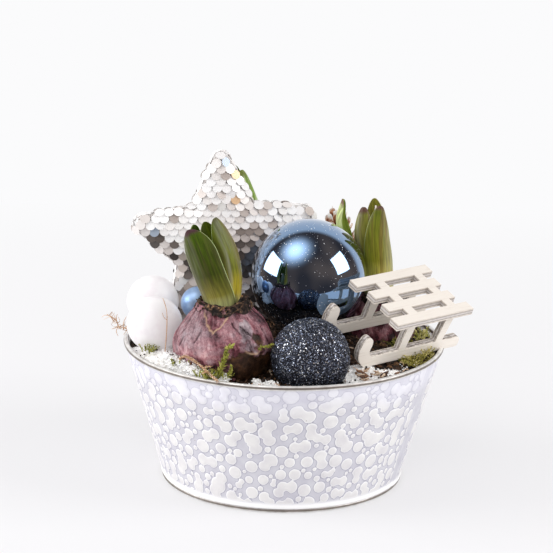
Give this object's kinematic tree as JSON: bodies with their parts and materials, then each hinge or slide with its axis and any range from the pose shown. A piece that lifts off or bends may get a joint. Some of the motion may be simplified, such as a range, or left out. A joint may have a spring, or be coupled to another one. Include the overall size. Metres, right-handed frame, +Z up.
{
  "type": "potted hyacinth",
  "caption": "Potted hyacinths in a round embossed tin bowl, dressed for winter with a sequinned star, shiny and pearl balls, a wooden sled, a pine cone, snow and moss.",
  "frame": {"origin": "centre of the pot's flat underside, on the surface it stands on", "axes": "+Z up along the pot's axis; -Y towards the front of the arrangement, where the bare bulb and the glitter ball are; +X towards the sled"},
  "size_m": [0.2269, 0.1998, 0.1978],
  "materials": {
    "painted_tin": "embossed, satin white over pale grey",
    "zinc": "dull zinc",
    "soil": "loose potting mix of peat and bark",
    "bulb": "dry papery tunic",
    "leaf": "living leaf with a waxy bloom",
    "bud": "closed living bud",
    "sequins": "silver sequins on padding",
    "blue_glass": "silvered inside, dark blue, high gloss",
    "glitter": "coated in coarse glitter",
    "pearl": "pearl white, satin",
    "matt_blue": "matt metallic blue",
    "metal": "bare wire and pressed sheet",
    "cone": "dry scales, whitened at the tips",
    "plywood": "unpainted pale plywood, laser cut",
    "snow": "crumbly artificial snow",
    "moss": "dried moss",
    "twig": "dry bark and twigs"
  },
  "bodies": {
    "root": {"pot_wall": "painted_tin", "pot_base": "zinc", "potting_soil": "soil", "hyacinth_a_bulb": "bulb", "hyacinth_a_leaf_1": "leaf", "hyacinth_a_leaf_2": "leaf", "hyacinth_a_leaf_3": "leaf", "hyacinth_a_leaf_4": "leaf", "hyacinth_a_bud": "bud", "hyacinth_b_bulb": "bulb", "hyacinth_b_leaf_1": "leaf", "hyacinth_b_leaf_2": "leaf", "hyacinth_b_leaf_3": "leaf", "hyacinth_b_leaf_4": "leaf", "hyacinth_b_bud": "bud", "hyacinth_c_bulb": "bulb", "hyacinth_c_leaf_1": "leaf", "hyacinth_c_leaf_2": "leaf", "hyacinth_c_leaf_3": "leaf", "hyacinth_c_bud": "bud", "star": "sequins", "ball_large": "blue_glass", "ball_large_cap": "metal", "ball_glitter": "glitter", "ball_glitter_cap": "metal", "pearl_front": "pearl", "pearl_front_wire": "metal", "pearl_rear": "pearl", "pearl_rear_wire": "metal", "ball_small": "matt_blue", "ball_small_wire": "metal", "pine_cone": "cone", "sled_deck": "plywood", "sled_runner_near": "plywood", "sled_runner_far": "plywood", "snow_left": "snow", "snow_right": "snow", "moss_left": "moss", "moss_front": "moss", "moss_right": "moss", "moss_under_sled": "moss", "bark_chips": "twig", "sprig_left": "twig", "sprig_front": "twig", "stalk_left": "twig"}
  },
  "joints": []
}
